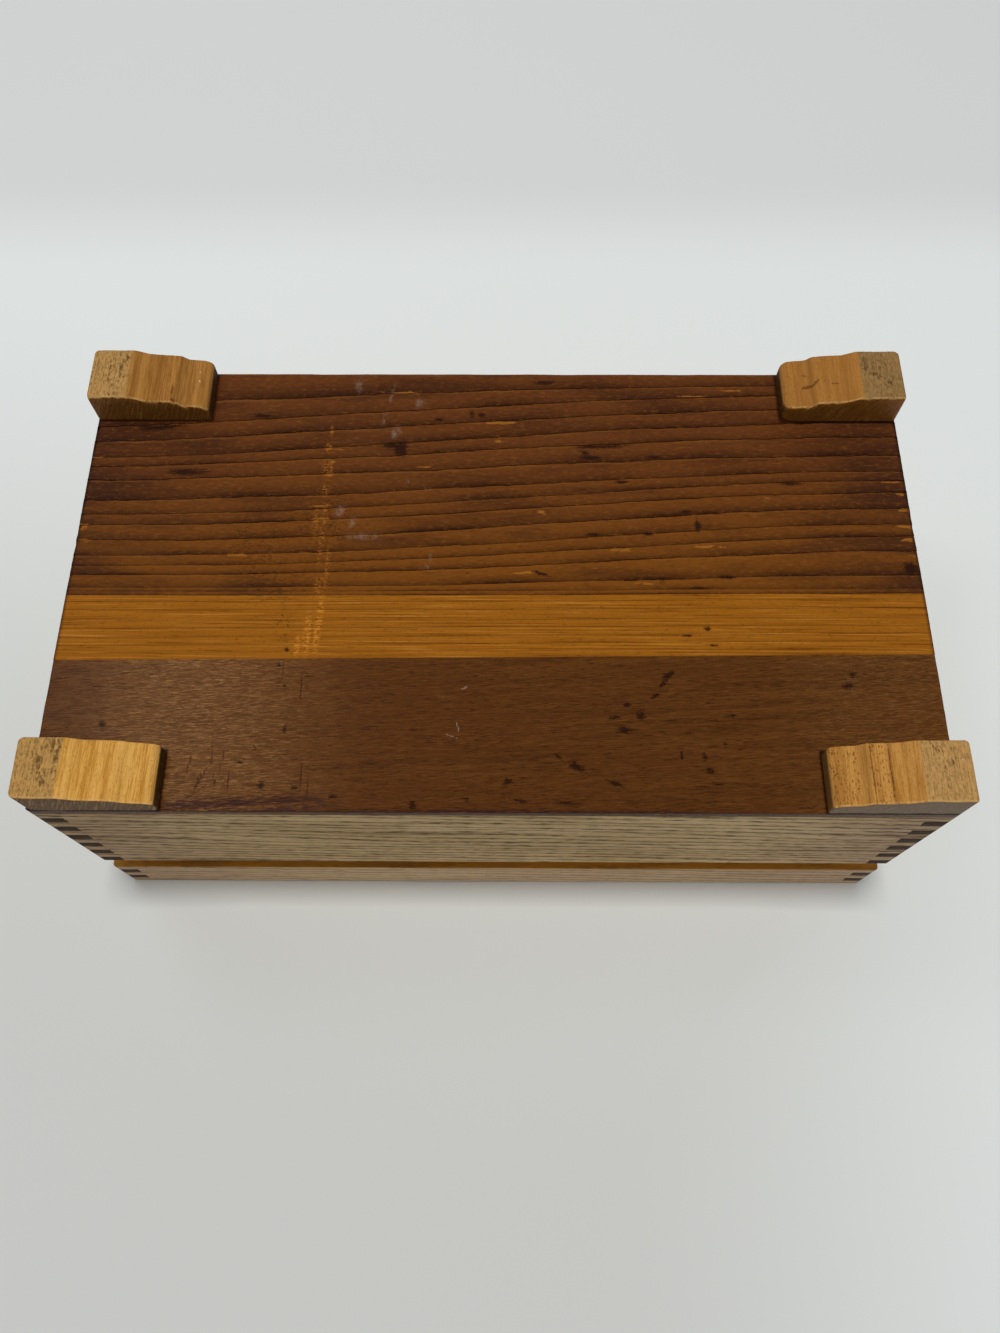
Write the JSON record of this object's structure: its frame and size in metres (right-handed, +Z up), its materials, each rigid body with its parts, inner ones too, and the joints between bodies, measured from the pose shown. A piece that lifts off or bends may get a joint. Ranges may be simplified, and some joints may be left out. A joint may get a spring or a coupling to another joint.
{
  "type": "wooden jewelry box",
  "caption": "Hinged wooden jewelry box with finger-jointed walls and lid, a lining that stands up into the lid, fixed dividers, felt and shaped feet.",
  "frame": {"origin": "on the floor under the middle of the whole box, hinges included", "axes": "+X to the right along the front, +Y from the front towards the hinges, +Z up"},
  "size_m": [0.28, 0.1665, 0.1133],
  "materials": {
    "oak": "open-pored oak under clear varnish",
    "walnut": "dark fine-pored wood under clear varnish",
    "heartwood": "ridged dark softwood with an amber sapwood band, varnished",
    "pine": "golden softwood, worn and dirty on the pads",
    "lining": "amber softwood, satin",
    "brass": "brushed, lightly tarnished",
    "felt": "short-napped felt"
  },
  "bodies": {
    "body": {"front_wall": "oak", "back_wall": "oak", "left_wall": "oak", "right_wall": "oak", "base_board_front": "walnut", "base_board_back": "heartwood", "foot_front_left": "pine", "foot_front_right": "pine", "foot_back_left": "pine", "foot_back_right": "pine", "liner_front": "lining", "liner_back": "lining", "liner_left": "lining", "liner_right": "lining", "divider_long": "lining", "divider_left": "lining", "divider_right": "lining", "floor_felt": "felt", "hinge_leaf_body_left": "brass", "hinge_leaf_body_right": "brass", "hinge_pin_left": "brass", "hinge_pin_right": "brass", "hinge_screws_body": "brass"},
    "lid": {"lid_rail_front": "oak", "lid_rail_back": "oak", "lid_rail_left": "oak", "lid_rail_right": "oak", "lid_board_front": "walnut", "lid_board_middle": "lining", "lid_board_back": "walnut", "lid_liner_front": "lining", "lid_liner_back": "lining", "lid_liner_left": "lining", "lid_liner_right": "lining", "lid_felt": "felt", "hinge_leaf_lid_left": "brass", "hinge_leaf_lid_right": "brass", "hinge_screws_lid": "brass"}
  },
  "joints": [
    {"name": "lid_hinge", "type": "hinge", "parent": "body", "child": "lid", "pos_m": [0, 0.08075, 0.0841], "axis": [-1, 0, 0], "range_deg": [0, 95]}
  ]
}
